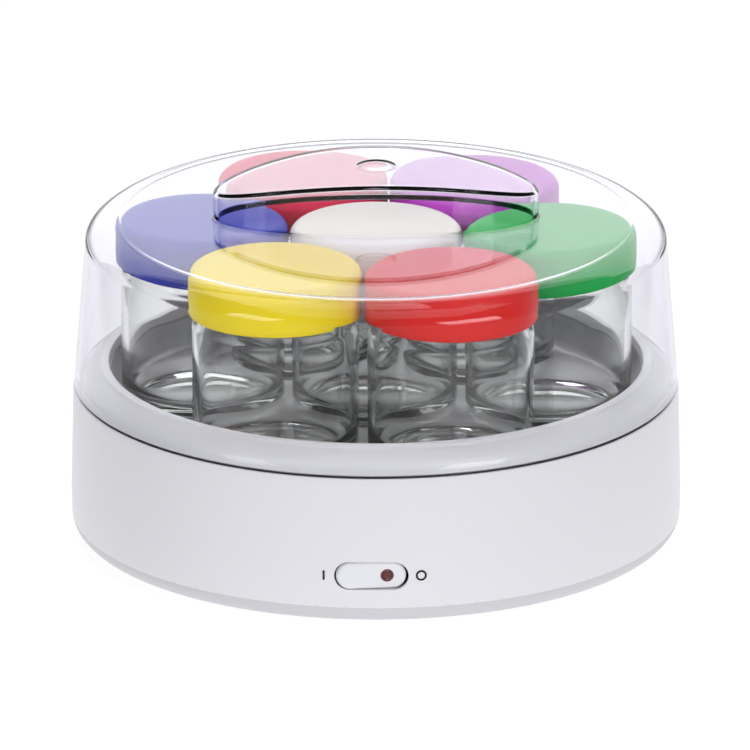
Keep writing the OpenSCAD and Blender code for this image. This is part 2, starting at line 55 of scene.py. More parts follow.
def new_object(name, mesh, material, body, stands_for=()):
    """Links a piece to the scene, makes it ride on its body and hides the CAD parts it stands for."""
    piece = bpy.data.objects.new(name, mesh)
    bpy.context.scene.collection.objects.link(piece)
    piece.data.materials.append(material)
    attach(piece, body)
    if stands_for:
        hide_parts(*stands_for)
    return piece


def mesh_from_rings(name, rings, closed_loop=False, sharp_deg=35):
    """A mesh of quads between rings of equal length. A ring of one point closes that end."""
    bm = bmesh.new()
    made = [[bm.verts.new(p) for p in ring] for ring in rings]
    pairs = list(zip(made, made[1:]))
    if closed_loop:
        pairs.append((made[-1], made[0]))
    for low, high in pairs:
        count = max(len(low), len(high))
        for k in range(count):
            n = (k + 1) % count
            corners = [low[k % len(low)], low[n % len(low)], high[n % len(high)], high[k % len(high)]]
            face = list(dict.fromkeys(corners))
            if len(face) > 2:
                bm.faces.new(face)
    bmesh.ops.recalc_face_normals(bm, faces=bm.faces)
    mesh = bpy.data.meshes.new(name)
    bm.to_mesh(mesh)
    bm.free()
    smooth(mesh, sharp_deg)
    return mesh


def smooth(mesh, sharp_deg):
    for polygon in mesh.polygons:
        polygon.use_smooth = True
    mesh.set_sharp_from_angle(angle=math.radians(sharp_deg))


def circle_ring(r, z, centre=(0, 0), columns=COLUMNS):
    if r < 1e-7:
        return [(centre[0], centre[1], z)]
    return [
        (centre[0] + r * math.cos(a), centre[1] + r * math.sin(a), z)
        for a in (2 * math.pi * k / columns for k in range(columns))
    ]


def lathe(name, profile, centre=(0, 0), columns=COLUMNS, closed_loop=False, sharp_deg=35):
    """Turns a list of (r, z) points about the vertical line through centre."""
    rings = [circle_ring(r, z, centre, columns) for r, z in profile]
    return mesh_from_rings(name, rings, closed_loop, sharp_deg)


def arc(cx, cz, r, start, end, steps=6, rz=None):
    """Points on an arc or quarter ellipse in the (r, z) plane, from one angle to another in degrees."""
    rz = r if rz is None else rz
    angles = (math.radians(start + (end - start) * k / steps) for k in range(steps + 1))
    return [(cx + r * math.cos(a), cz + rz * math.sin(a)) for a in angles]


# ---------------------------------------------------------------- material helpers


class Nodes:
    """A small builder of node trees for one material."""

    def __init__(self, name):
        self.material = bpy.data.materials.new(name)
        self.material.use_nodes = True
        self.tree = self.material.node_tree
        self.shader = self.tree.nodes["Principled BSDF"]
        self.place = self.tree.nodes.new("ShaderNodeTexCoord").outputs["Object"]

    def put(self, **values):
        for key, value in values.items():
            self.shader.inputs[key.replace("_", " ")].default_value = value
        return self

    def link(self, output, key):
        self.tree.links.new(output, self.shader.inputs[key])

    def noise(self, scale, detail=3.0, stretch=(1, 1, 1)):
        mapping = self.tree.nodes.new("ShaderNodeMapping")
        mapping.inputs["Scale"].default_value = stretch
        self.tree.links.new(self.place, mapping.inputs["Vector"])
        noise = self.tree.nodes.new("ShaderNodeTexNoise")
        noise.inputs["Scale"].default_value = scale
        noise.inputs["Detail"].default_value = detail
        self.tree.links.new(mapping.outputs["Vector"], noise.inputs["Vector"])
        return noise.outputs["Fac"]

    def ramp(self, source, low, high, start=0.3, stop=0.7):
        """Spreads a value between two colours or two greys."""
        ramp = self.tree.nodes.new("ShaderNodeValToRGB")
        ramp.color_ramp.elements[0].position = start
        ramp.color_ramp.elements[1].position = stop
        ramp.color_ramp.elements[0].color = as_colour(low)
        ramp.color_ramp.elements[1].color = as_colour(high)
        self.tree.links.new(source, ramp.inputs["Fac"])
        return ramp.outputs["Color"]

    def bump(self, source, height, strength=0.5):
        bump = self.tree.nodes.new("ShaderNodeBump")
        bump.inputs["Strength"].default_value = strength
        bump.inputs["Distance"].default_value = height
        self.tree.links.new(source, bump.inputs["Height"])
        self.link(bump.outputs["Normal"], "Normal")


def as_colour(value):
    return (value, value, value, 1.0) if isinstance(value, (int, float)) else (*value, 1.0)


def shade(colour, factor):
    return tuple(min(1.0, c * factor) for c in colour)


def moulded_plastic(name, colour, rough, grain=0.00001, spread=0.012, coat=0.0, gloss=0.25):
    """Injection-moulded plastic: faint mottling, a fine skin and uneven gloss."""
    n = Nodes(name)
    cloud = n.noise(14.0, 4.0)
    n.link(n.ramp(cloud, shade(colour, 1 - spread), shade(colour, 1 + spread)), "Base Color")
    n.link(n.ramp(n.noise(60.0, 2.0), rough * 0.97, min(1.0, rough * 1.04)), "Roughness")
    n.bump(n.noise(1800.0, 2.0), grain, 0.25)
    n.put(Specular_IOR_Level=gloss, Coat_Weight=coat, Coat_Roughness=0.08)
    return n.material


def brushed_metal(name, colour, rough, stretch=(1, 1, 40)):
    n = Nodes(name)
    grain = n.noise(90.0, 5.0, stretch)
    n.link(n.ramp(grain, shade(colour, 0.9), shade(colour, 1.08)), "Base Color")
    n.link(n.ramp(grain, rough * 0.8, min(1.0, rough * 1.25)), "Roughness")
    n.bump(grain, 0.00002, 0.25)
    n.put(Metallic=1.0)
    return n.material


def clear_solid(name, tint, edge_tint_and_shade, rough, ior, depth_colour, density, middle_share=0.3):
    """Clear plastic or glass as a solid wall: depth and slanting sight colour it, and lamps shine through it.
    The darker colour towards the edges is partly the longer path through the wall and partly painted shade,
    standing in for a dark room seen at grazing angles."""
    n = Nodes(name)
    facing = n.tree.nodes.new("ShaderNodeLayerWeight")
    facing.inputs["Blend"].default_value = 0.5
    # Partly painted shade: the colour darkens towards grazing sight, past what the wall's depth gives.
    slant = n.ramp(facing.outputs["Facing"], tint, edge_tint_and_shade, 0.35, 1.0)
    middle = slant.node.color_ramp.elements.new(0.72)
    middle.color = as_colour([t + (e - t) * middle_share for t, e in zip(tint, edge_tint_and_shade)])
    mottle = n.tree.nodes.new("ShaderNodeMix")
    mottle.data_type, mottle.blend_type = "RGBA", "MULTIPLY"
    mottle.inputs["Factor"].default_value = 1.0
    n.tree.links.new(slant, mottle.inputs["A"])
    n.tree.links.new(n.ramp(n.noise(9.0, 2.0), 0.99, 1.0), mottle.inputs["B"])
    n.link(mottle.outputs["Result"], "Base Color")
    n.link(n.ramp(n.noise(30.0, 3.0), rough * 0.5, rough * 1.5), "Roughness")
    n.put(IOR=ior, Transmission_Weight=1.0, Specular_IOR_Level=0.5)
    nodes, links = n.tree.nodes, n.tree.links
    clear = nodes.new("ShaderNodeBsdfTransparent")
    clear.inputs["Color"].default_value = as_colour(shade(tint, 0.95))
    mix = nodes.new("ShaderNodeMixShader")
    links.new(nodes.new("ShaderNodeLightPath").outputs["Is Shadow Ray"], mix.inputs[0])
    links.new(n.shader.outputs[0], mix.inputs[1])
    links.new(clear.outputs[0], mix.inputs[2])
    output = nodes["Material Output"]
    links.new(mix.outputs[0], output.inputs["Surface"])
    depth = nodes.new("ShaderNodeVolumeAbsorption")
    depth.inputs["Color"].default_value = as_colour(depth_colour)
    depth.inputs["Density"].default_value = density
    links.new(depth.outputs[0], output.inputs["Volume"])
    return n.material


def lens_look():
    """Red lens with a dark gap ring and a dark middle, set by the distance from its centre; the gap ring is
    painted shade in the lens's sunken groove.
    """
    n = Nodes("lens_red_look")
    shift = n.tree.nodes.new("ShaderNodeVectorMath")
    shift.operation = "DISTANCE"
    turn = Matrix.Rotation(math.radians(6.0), 3, "Z")
    centre = turn @ Vector((5.8 * MM, -4.2 * MM, 0)) + Vector((0, -117.5 * MM, 21.5 * MM))
    shift.inputs[1].default_value = centre
    n.tree.links.new(n.place, shift.inputs[0])
    ramp = n.tree.nodes.new("ShaderNodeValToRGB")
    scale = n.tree.nodes.new("ShaderNodeMath")
    scale.operation = "DIVIDE"
    scale.inputs[1].default_value = 2.7 * MM
    n.tree.links.new(shift.outputs["Value"], scale.inputs[0])
    n.tree.links.new(scale.outputs[0], ramp.inputs["Fac"])
    # Painted shade: the near-black stops from 0.46 to 0.70 lie over the lens's sunken groove.
    stops = [(0.0, (0.004, 0.001, 0.001)), (0.16, (0.006, 0.001, 0.001)), (0.26, (0.30, 0.008, 0.008)),
             (0.38, (0.18, 0.005, 0.005)), (0.46, (0.012, 0.001, 0.001)), (0.70, (0.02, 0.001, 0.001)),
             (0.82, (0.16, 0.003, 0.004)), (1.0, (0.24, 0.004, 0.005))]
    elements = ramp.color_ramp.elements
    while len(elements) < len(stops):
        elements.new(0.5)
    for element, (position, colour) in zip(elements, stops):
        element.position, element.color = position, as_colour(colour)
    n.link(ramp.outputs["Color"], "Base Color")
    n.put(Roughness=0.15, Coat_Weight=0.6)
    return n.material


LENS_RED = lens_look()

CAP_COLOURS = {
    "center": ("cap_white", (0.74, 0.72, 0.68)),
    "right": ("cap_green", (0.003, 0.36, 0.060)),
    "back_right": ("cap_violet", (0.42, 0.045, 0.46)),
    "back_left": ("cap_pink", (0.62, 0.008, 0.075)),
    "left": ("cap_blue", (0.018, 0.030, 0.36)),
    "front_left": ("cap_yellow", (0.84, 0.66, 0.006)),
    "front_right": ("cap_red", (0.66, 0.012, 0.008)),
}

HOUSING_WHITE = moulded_plastic("housing_white_look", (0.77, 0.77, 0.795), 0.3, spread=0.004)
# Painted shade: the rim is the same white plastic as the housing, given a darker copy of its colour.
RIM_SHADED_WHITE = moulded_plastic("rim_painted_shade_look", (0.62, 0.62, 0.64), 0.34, spread=0.004)
# Painted shade: the bottom plate's white is a darker copy of the housing white, for the shade low down on the
# plate.
PLATE_SHADED_WHITE = moulded_plastic("plate_painted_shade_look", (0.61, 0.61, 0.635), 0.35, spread=0.004)
# Painted shadow: a dark grey for the band in the gap between housing and bottom plate.
GROOVE_PAINTED_SHADE = moulded_plastic("groove_painted_shadow_look", (0.10, 0.10, 0.11), 0.6)
# Painted shadow: a near-black colour for the band set in the seam's recess.
SEAM_PAINTED_SHADE = moulded_plastic("seam_painted_shadow_look", (0.02, 0.018, 0.035), 0.5)
ROCKER_WHITE = moulded_plastic("rocker_white_look", (0.78, 0.78, 0.82), 0.2, coat=0.3)
BASIN_GREY = brushed_metal("basin_grey_look", (0.62, 0.62, 0.63), 0.42, (1, 1, 1))
COVER_CLEAR = clear_solid(
    "cover_clear_look", (0.975, 0.975, 0.98), (0.60, 0.58, 0.80), 0.012, 1.33, (0.35, 0.30, 0.92), 5.0)
JAR_GLASS = clear_solid(
    "jar_glass_look", (0.985, 0.99, 0.985), (0.55, 0.59, 0.56), 0.01, 1.48, (0.45, 0.52, 0.47), 16.0)
STEEL = brushed_metal("steel_look", (0.56, 0.56, 0.57), 0.3)
BRASS = brushed_metal("brass_look", (0.80, 0.58, 0.25), 0.3)
RUBBER = moulded_plastic("foot_rubber_look", (0.03, 0.03, 0.03), 0.7, grain=0.00005)
DARK = moulded_plastic("dark_plastic_look", (0.03, 0.03, 0.032), 0.45)
GLAND_GREY = moulded_plastic("gland_grey_look", (0.45, 0.45, 0.48), 0.5)
RED_PLASTIC = moulded_plastic("red_plastic_look", (0.45, 0.006, 0.008), 0.12, coat=0.6)
MARK_GREY = moulded_plastic("mark_grey_look", (0.010, 0.010, 0.013), 0.6)


# ---------------------------------------------------------------- cover

COVER_WALL = 2.0 * MM
TOP_R = 102.8 * MM
DRAFT = 4.8 * MM
SHOULDER_H = 9.5 * MM
CROWN = 0.8 * MM
HANDLE_A = 65.0 * MM
HANDLE_B = 27.5 * MM
HANDLE_H = 21.4 * MM
ARCH_R = 215.0 * MM
EDGE_R = 1.1 * MM
FOOT_R = 0.9 * MM
GATE_R = 7.8 * MM
HANDLE_TURN = 2.0
GATE_DEPTHS = [(0.25, 0.5), (0.5, 0.7), (0.8, 1.0), (0.93, 1.0), (1.0, 0.35), (1.06, 0.0)]
GATE_DIP = 0.35 * MM
SHOULDER_LEAD = 62
RIDGE = [(-0.6, 0.01), (-0.3, 0.035), (0.0, 0.03), (0.25, -0.07)]


def cover_place():
    low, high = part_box("cover")
    return {"foot_z": low.z, "foot_r": high.x, "top_z": high.z - HANDLE_H}


def disc(r):
    return lambda t: (r * math.cos(t), r * math.sin(t))


def between(one, other, share):
    """The plan that lies a share of the way from one plan to another."""
    def plan(t):
        x0, y0 = one(t)
        x1, y1 = other(t)
        return x0 + (x1 - x0) * share, y0 + (y1 - y0) * share
    return plan


def turned_ring(plan, height):
    """A closed ring over a plan, at the height given for each place, turned with the handle."""
    turn = math.radians(HANDLE_TURN)
    points = []
    for k in range(COLUMNS):
        t = 2 * math.pi * k / COLUMNS
        x, y = plan(t)
        z = height(x, y)
        points.append((x * math.cos(turn) - y * math.sin(turn),
                       x * math.sin(turn) + y * math.cos(turn), z))
    return points


def crown_over(top_z):
    return lambda x, y: top_z + CROWN * max(0.0, 1 - (x * x + y * y) / TOP_R ** 2)


def gate_rings(arch_z, dip):
    """The handle's middle, with the shallow round mark that the mould's gate leaves."""
    rings = [[(0.0, 0.0, arch_z(0) - 0.6 * dip)]]
    for share, depth in GATE_DEPTHS:
        rings.append(turned_ring(disc(GATE_R * share), lambda x, y, d=depth: arch_z(x) - d * dip))
    return rings


def handle_rings(place, inset):
    """The arched handle, its rounded edge, its sides and the top out to the shoulder."""
    a, b = HANDLE_A - inset, HANDLE_B - inset
    arch_r = ARCH_R - inset
    edge = max(EDGE_R - inset, 0.4 * MM)
    foot = FOOT_R + inset * 0.3
    arch_top = place["top_z"] + HANDLE_H - inset
    crown_z = crown_over(place["top_z"] - inset)

    def arch_z(x):
        return arch_top - arch_r + math.sqrt(arch_r * arch_r - x * x)

    def oval(grow):
        return lambda t: ((a + grow) * math.cos(t), (b + grow) * math.sin(t))

    rings = gate_rings(arch_z, GATE_DIP if inset == 0 else 0.0)
    start = disc(GATE_R * 1.12)
    for k in range(9):
        rings.append(turned_ring(between(start, oval(-edge), k / 8), lambda x, y: arch_z(x)))
    for k in range(1, 7):
        angle = math.radians(90 * k / 6)
        grow, drop = edge * (math.sin(angle) - 1), edge * (1 - math.cos(angle))
        rings.append(turned_ring(oval(grow), lambda x, y, d=drop: arch_z(x) - d))
    for k in range(1, 6):
        share = k / 5
        rings.append(turned_ring(oval(0), lambda x, y, s=share: (1 - s) * (arch_z(x) - edge)
                                 + s * (crown_z(x, y) + foot)))
    for k in range(1, 7):
        angle = math.radians(90 * k / 6)
        grow, rise = foot * (1 - math.cos(angle)), foot * (1 - math.sin(angle))
        rings.append(turned_ring(oval(grow), lambda x, y, r=rise: crown_z(x, y) + r))
    for k in range(1, 15):
        rings.append(turned_ring(between(oval(foot), disc(TOP_R - 1.0 * MM), k / 14), crown_z))
    return rings


def wall_rings(place, inset):
    """The bead at the top's edge, the rounded shoulder and the wall down to the foot."""
    top_z = place["top_z"] - inset
    crown_z = crown_over(top_z)
    rings = []
    for out, rise in RIDGE if inset == 0 else ():
        rings.append(turned_ring(disc(TOP_R + out * MM), lambda x, y, r=rise: crown_z(x, y) + r * MM))
    shoulder_z = place["top_z"] - SHOULDER_H
    draft_r = place["foot_r"] - DRAFT - inset
    lead = math.radians(SHOULDER_LEAD)
    for k in range(1, 19):
        angle = lead * (1 - k / 18)
        r = TOP_R + (draft_r - TOP_R) * (math.cos(angle) - math.cos(lead)) / (1 - math.cos(lead))
        z = shoulder_z + (top_z - shoulder_z) * math.sin(angle) / math.sin(lead)
        rings.append(turned_ring(disc(r), lambda x, y, h=z: h))
    foot_r = place["foot_r"] - inset
    for k in range(1, 13):
        share = k / 12
        z = shoulder_z + (place["foot_z"] + 0.3 * MM - shoulder_z) * share
        rings.append(turned_ring(disc(draft_r + (foot_r - draft_r) * share), lambda x, y, h=z: h))
    return rings


def cover_skin(inset):
    """Rings of one face of the cover, from the middle of the handle out and down to the foot."""
    place = cover_place()
    return handle_rings(place, inset) + wall_rings(place, inset)


def make_cover():
    place = cover_place()
    outer, inner = cover_skin(0.0), cover_skin(COVER_WALL)
    middle_r = place["foot_r"] - COVER_WALL / 2
    lip = [circle_ring(middle_r + s * (COVER_WALL / 2 - 0.3 * MM), place["foot_z"]) for s in (1, -1)]
    turned = math.radians(HANDLE_TURN)
    lip = [[(x * math.cos(turned) - y * math.sin(turned), x * math.sin(turned) + y * math.cos(turned), z)
            for x, y, z in ring] for ring in lip]
    mesh = mesh_from_rings("cover_shell", outer + lip + inner[::-1], sharp_deg=60)
    return new_object("cover_shell", mesh, COVER_CLEAR, "cover", ["cover"])


# ---------------------------------------------------------------- base shell

WALL = 2.4 * MM
RIM_IN_R = 107.0 * MM
RIM_OUT_R = 118.0 * MM
RIM_H = 9.3 * MM
SEAM_GAP = 0.9 * MM
SEAM_DEPTH = 2.0 * MM
SEAT_R = 112.8 * MM
SEAT_DROP = 4.2 * MM
SWITCH_Z = 21.5 * MM
SWITCH_W = 29.3 * MM
SWITCH_H = 11.4 * MM
INLET_Z = 20.0 * MM
PIVOT_Y = -117.5 * MM
FACE_Y = -121.9 * MM
ROCKER_W = 28.0 * MM
ROCKER_H = 10.8 * MM
ROCKER_TILT = 6.0
LENS_X = 5.8 * MM
RIGHT_SHARE = 0.95


def stadium_points(half_len, radius, count=96):
    """Points round a stadium in a plane, first half right end, then left end."""
    points = []
    for k in range(count):
        a = 2 * math.pi * (k + 0.5) / count - math.pi / 2
        side = 1 if math.cos(a) > 0 else -1
        points.append((side * (half_len - radius) + radius * math.cos(a), radius * math.sin(a)))
    return points


def with_cut(piece, cutter):
    """Applies an exact boolean difference and leaves no modifier or cutter behind."""
    cut = piece.modifiers.new("cut", "BOOLEAN")
    cut.operation, cut.solver, cut.object = "DIFFERENCE", "EXACT", cutter
    depsgraph = bpy.context.evaluated_depsgraph_get()
    mesh = bpy.data.meshes.new_from_object(piece.evaluated_get(depsgraph))
    piece.modifiers.remove(cut)
    piece.data = mesh
    bpy.data.objects.remove(cutter)


def plain_object(name, mesh):
    piece = bpy.data.objects.new(name, mesh)
    bpy.context.scene.collection.objects.link(piece)
    return piece


def make_seam_shadow(step_r, low_z, high_z):
    """Painted shadow under the cover's foot: a thin dark band at the back of the seam, where there is only
    shade.
    """
    profile = [(step_r + 0.02 * MM, low_z + 0.02 * MM), (step_r + 1.1 * MM, low_z + 0.06 * MM)]
    profile += [(step_r + 1.1 * MM, low_z + 0.3 * MM), (step_r + 0.6 * MM, high_z - 0.06 * MM)]
    profile += [(step_r + 0.02 * MM, high_z - 0.02 * MM)]
    mesh = lathe("seam_shadow_band", profile, closed_loop=True, sharp_deg=50)
    return new_object("seam_shadow_band", mesh, SEAM_PAINTED_SHADE, "base")


def make_groove_shadow():
    """Painted shadow: the grey line where the housing meets the bottom plate, a dark band set in the gap."""
    plate_z, housing_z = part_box("bottom_plate")[0].z + 8.2 * MM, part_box("base_housing")[0].z
    r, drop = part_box("base_housing")[1].x - 0.2 * MM, 0.04 * MM
    profile = [(r - 2.2 * MM, plate_z + drop), (r - 0.7 * MM, plate_z + drop)]
    profile += [(r - 0.5 * MM, (plate_z + housing_z) / 2), (r - 0.7 * MM, housing_z - drop)]
    profile += [(r - 2.2 * MM, housing_z - drop)]
    mesh = lathe("groove_shadow_band", profile, closed_loop=True, sharp_deg=50)
    return new_object("groove_shadow_band", mesh, GROOVE_PAINTED_SHADE, "base")


def make_base_shell():
    low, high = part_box("base_housing")
    z0, base_r = low.z, high.x
    base_h = high.z - RIM_H
    foot_r, ledge_r = base_r - 0.2 * MM, base_r - 1.1 * MM
    groove_edge, lip_edge = 0.35 * MM, 0.4 * MM
    outer = arc(foot_r - groove_edge, z0 + groove_edge, groove_edge, -90, 0, 4)
    outer += [(foot_r + (base_r - foot_r) * k / 4, z0 + 10 * MM * k / 4) for k in range(1, 5)]
    top = base_h - SEAM_GAP - 0.2 * MM
    steps = 12
    flare_z = z0 + 10 * MM
    rise = top - lip_edge - z0 - 10 * MM
    outer += [(base_r + (ledge_r - base_r) * k / steps, flare_z + rise * k / steps)
              for k in range(1, steps + 1)]
    outer += arc(ledge_r - lip_edge, top - lip_edge, lip_edge, 0, 90, 4)[1:]
    step_r = ledge_r - SEAM_DEPTH
    make_seam_shadow(step_r, top, base_h)
    outer += [(step_r, top), (step_r, base_h), (step_r - 0.1 * MM, base_h + 0.02 * MM)]
    outer += [(RIM_OUT_R + 0.6 * MM, base_h + 0.05 * MM), (RIM_OUT_R + 0.15 * MM, base_h + 0.2 * MM)]
    outer += arc(RIM_IN_R, base_h, RIM_OUT_R - RIM_IN_R, 4, 66, 14, RIM_H - 0.35 * MM)
    top_z = base_h + RIM_H
    outer += [(RIM_IN_R + 4.0 * MM, top_z - 0.62 * MM), (RIM_IN_R + 3.75 * MM, top_z - 0.3 * MM)]
    outer += [(RIM_IN_R + 3.4 * MM, top_z - 0.12 * MM), (RIM_IN_R + 2.9 * MM, top_z - 0.06 * MM)]
    outer += [(RIM_IN_R + 1.6 * MM, top_z - 0.02 * MM)]
    seat_z = base_h + RIM_H - SEAT_DROP
    inner = [(RIM_IN_R + 0.25 * MM, base_h + RIM_H - 0.05 * MM), (RIM_IN_R, base_h + RIM_H - 0.35 * MM)]
    inner += [(RIM_IN_R, seat_z), (SEAT_R, seat_z), (RIM_OUT_R - WALL, base_h)]
    inner += [(RIM_OUT_R - WALL, base_h - 2.6 * MM), (ledge_r - WALL, base_h - 2.6 * MM)]
    inner += [(base_r - WALL, z0 + 10 * MM), (foot_r - WALL, z0)]
    shell = plain_object("base_shell", lathe("base_shell", outer + inner, closed_loop=True, sharp_deg=40))
    opening = stadium_points(SWITCH_W / 2, SWITCH_H / 2)
    rings = [[(x * g, y, SWITCH_Z + z * g) for x, z in opening] for y, g in
             ((-base_r - 1 * MM, 1.05), (-base_r + 0.35 * MM, 1.0), (PIVOT_Y, 1.0))]
    rings = [[(0, rings[0][0][1], SWITCH_Z)]] + rings + [[(0, PIVOT_Y, SWITCH_Z)]]
    with_cut(shell, plain_object("switch_cutter", mesh_from_rings("switch_cutter", rings)))
    bore_r = 5.5 * MM
    circle = [(bore_r * math.cos(a), bore_r * math.sin(a)) for a in (math.pi * k / 32 for k in range(64))]
    rings = [[(x, y, INLET_Z + z) for x, z in circle] for y in (base_r - 6 * MM, base_r + 1 * MM)]
    rings = [[(0, rings[0][0][1], INLET_Z)]] + rings + [[(0, base_r + 1 * MM, INLET_Z)]]
    with_cut(shell, plain_object("inlet_cutter", mesh_from_rings("inlet_cutter", rings)))
    smooth(shell.data, 40)
    shell.data.materials.clear()
    shell.data.materials.append(HOUSING_WHITE)
    shell.data.materials.append(RIM_SHADED_WHITE)
    # Painted shade: the rim's faces take the darker copy of the housing white.
    for face in shell.data.polygons:
        x, y, z = face.center
        if z > base_h - 0.1 * MM and math.hypot(x, y) > RIM_IN_R + 3.2 * MM:
            face.material_index = 1
    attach(shell, "base")
    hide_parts("base_housing")


# ---------------------------------------------------------------- switch and marks


def tilted(points):
    """Turns rocker points from the neutral pose to the rest pose about the upright pivot."""
    turn = Matrix.Rotation(math.radians(ROCKER_TILT), 3, "Z")
    pivot = Vector((0, PIVOT_Y, 0))
    return [tuple(turn @ (Vector(p) - pivot) + pivot) for p in points]


def rocker_face(x, z):
    """How far the face lies behind its plane: a shallow oval dish round the lens."""
    dish = math.hypot((x - 3.2 * MM) / (9.8 * MM), z / (4.3 * MM))
    bowl = 0.5 * (1 + math.cos(math.pi * min(1.0, dish))) if dish < 1 else 0.0
    return 0.45 * MM * bowl ** 0.5 + 0.25 * MM * (z / (ROCKER_H / 2)) ** 2


def make_rocker():
    edge = 0.9 * MM
    half, radius = ROCKER_W / 2, ROCKER_H / 2
    rings = [[(0, PIVOT_Y + 1 * MM, SWITCH_Z)]]
    rings.append([(x, PIVOT_Y + 1 * MM, SWITCH_Z + z) for x, z in stadium_points(half, radius)])
    for k in range(7):
        a = math.radians(90 * k / 6)
        grow, back = edge * (math.cos(a) - 1), edge * (1 - math.sin(a))
        rings.append([(x, FACE_Y + back + rocker_face(x, z), SWITCH_Z + z)
                      for x, z in stadium_points(half + grow, radius + grow)])
    for k in range(1, 24):
        share = 1 - k / 24
        outline = stadium_points(half - edge, radius - edge)
        plan = [((x - LENS_X) * share + LENS_X, z * share) for x, z in outline]
        rings.append([(x, FACE_Y + rocker_face(x, z), SWITCH_Z + z) for x, z in plan])
    rings.append([(LENS_X, FACE_Y + rocker_face(LENS_X, 0), SWITCH_Z)])
    rings = [[(x * (RIGHT_SHARE if x > 0 else 1.0), y, z) for x, y, z in ring] for ring in rings]
    mesh = mesh_from_rings("rocker_cap", [tilted(ring) for ring in rings], sharp_deg=60)
    return new_object("rocker_cap", mesh, ROCKER_WHITE, "rocker", ["rocker_button"])


def make_rocker_skirt():
    """The wider part of the rocker just inside its opening, seen past its raised left end."""
    outline = stadium_points(14.25 * MM, 5.5 * MM)
    rings = []
    for y, grow in ((-119.9, 0.97), (-119.7, 1.0), (-118.3, 1.0), (-118.2, 0.97)):
        rings.append([(x * grow * (0.90 if x > 0 else 1.0), y * MM, SWITCH_Z + z * grow * 0.985)
                      for x, z in outline])
    rings = [[(0, -119.9 * MM, SWITCH_Z)]] + rings + [[(0, -118.2 * MM, SWITCH_Z)]]
    mesh = mesh_from_rings("rocker_skirt", [tilted(ring) for ring in rings], sharp_deg=50)
    return new_object("rocker_skirt", mesh, ROCKER_WHITE, "rocker")


def make_lens():
    face = FACE_Y + rocker_face(LENS_X, 0)
    profile = [(0, 0.05), (0.45, 0.05), (0.6, 0.32), (0.95, 0.32), (1.1, 0.1), (1.9, 0.1), (2.15, 0.34),
               (2.45, 0.34), (2.6, 0.2), (2.6, -0.8)]
    rings = []
    for r, proud in profile:
        ring = [(LENS_X + r * MM * math.cos(a), face - proud * MM, SWITCH_Z + r * MM * math.sin(a))
                for a in (2 * math.pi * k / 64 for k in range(64))]
        rings.append(ring[:1] if r == 0 else ring)
    rings.append([(LENS_X, face + 0.8 * MM, SWITCH_Z)])
    mesh = mesh_from_rings("rocker_lens_cap", [tilted(ring) for ring in rings], sharp_deg=30)
    return new_object("rocker_lens_cap", mesh, LENS_RED, "rocker", ["rocker_lens"])


MARK_WALL_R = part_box("base_housing")[1].x - 0.04 * MM


def on_wall(x, z, proud):
    """A point on the housing wall at a sideways place and height, standing a little proud."""
    r = MARK_WALL_R + proud
    return (r * math.sin(x / r), -r * math.cos(x / r), z)


def make_mark(name, outer, inner, x0):
    """A printed mark: a closed band between two outlines, laid on the housing wall."""
    rings = [[on_wall(x0 + x, SWITCH_Z + z, proud) for x, z in outline]
             for outline, proud in ((inner, -0.1 * MM), (inner, 0.05 * MM),
                                    (outer, 0.05 * MM), (outer, -0.1 * MM))]
    mesh = mesh_from_rings(name, rings, closed_loop=True)
    return new_object(name, mesh, MARK_GREY, "base")


def make_marks():
    bar, core = stadium_points(2.0 * MM, 0.43 * MM, 32), stadium_points(1.6 * MM, 0.02 * MM, 32)
    make_mark("mark_on", [(-z, x) for x, z in bar], [(-z, x) for x, z in core], -18.9 * MM)
    make_mark("mark_off", stadium_points(2.2 * MM, 2.199 * MM, 64), stadium_points(1.42 * MM, 1.419 * MM, 64),
              19.7 * MM)


# ---------------------------------------------------------------- jars and caps

GLASS = 2.6 * MM


def make_jar(place):
    low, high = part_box("jar_" + place)
    centre = ((low.x + high.x) / 2, (low.y + high.y) / 2)
    r, z0, z1 = (high.x - low.x) / 2, low.z, high.z
    neck_r, foot = r - 1.4 * MM, 5.0 * MM
    neck_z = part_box("cap_" + place)[0].z - 0.6 * MM
    profile = [(0, z0 + 1.4 * MM), (r - 12 * MM, z0 + 1.1 * MM)]
    profile += [(r - 7.5 * MM, z0 + 0.1 * MM), (r - 6.5 * MM, z0)]
    profile += arc(r - foot, z0 + foot, foot, -90, 0, 8)
    profile += [(r, z0 + 12 * MM), (r, neck_z - 14 * MM), (r, neck_z - 5.5 * MM)]
    profile += [(r - 0.35 * MM, neck_z - 3.6 * MM), (neck_r + 0.35 * MM, neck_z - 1.4 * MM), (neck_r, neck_z)]
    profile += [(neck_r, neck_z + 5 * MM), (neck_r + 0.7 * MM, neck_z + 6 * MM), (neck_r, neck_z + 7 * MM)]
    profile += [(neck_r, z1 - 0.8 * MM)] + arc(neck_r - 0.8 * MM, z1 - 0.8 * MM, 0.8 * MM, 0, 90, 4)
    in_r = neck_r - GLASS
    profile += arc(in_r + 0.8 * MM, z1 - 0.8 * MM, 0.8 * MM, 90, 180, 4)
    profile += [(in_r, neck_z), (in_r + 0.4 * MM, neck_z - 2.5 * MM), (r - GLASS, neck_z - 6.5 * MM)]
    profile += [(r - GLASS, neck_z - 20 * MM), (r - GLASS - 0.3 * MM, z0 + 14 * MM)]
    profile += arc(r - GLASS - 8.3 * MM, z0 + 13 * MM, 8.0 * MM, 0, -90, 8)
    profile += [(r - 20 * MM, z0 + 4.6 * MM), (0, z0 + 4.2 * MM)]
    mesh = lathe("jar_glass_" + place, profile, centre, 128, sharp_deg=70)
    return new_object("jar_glass_" + place, mesh, JAR_GLASS, "jar_" + place, ["jar_" + place])


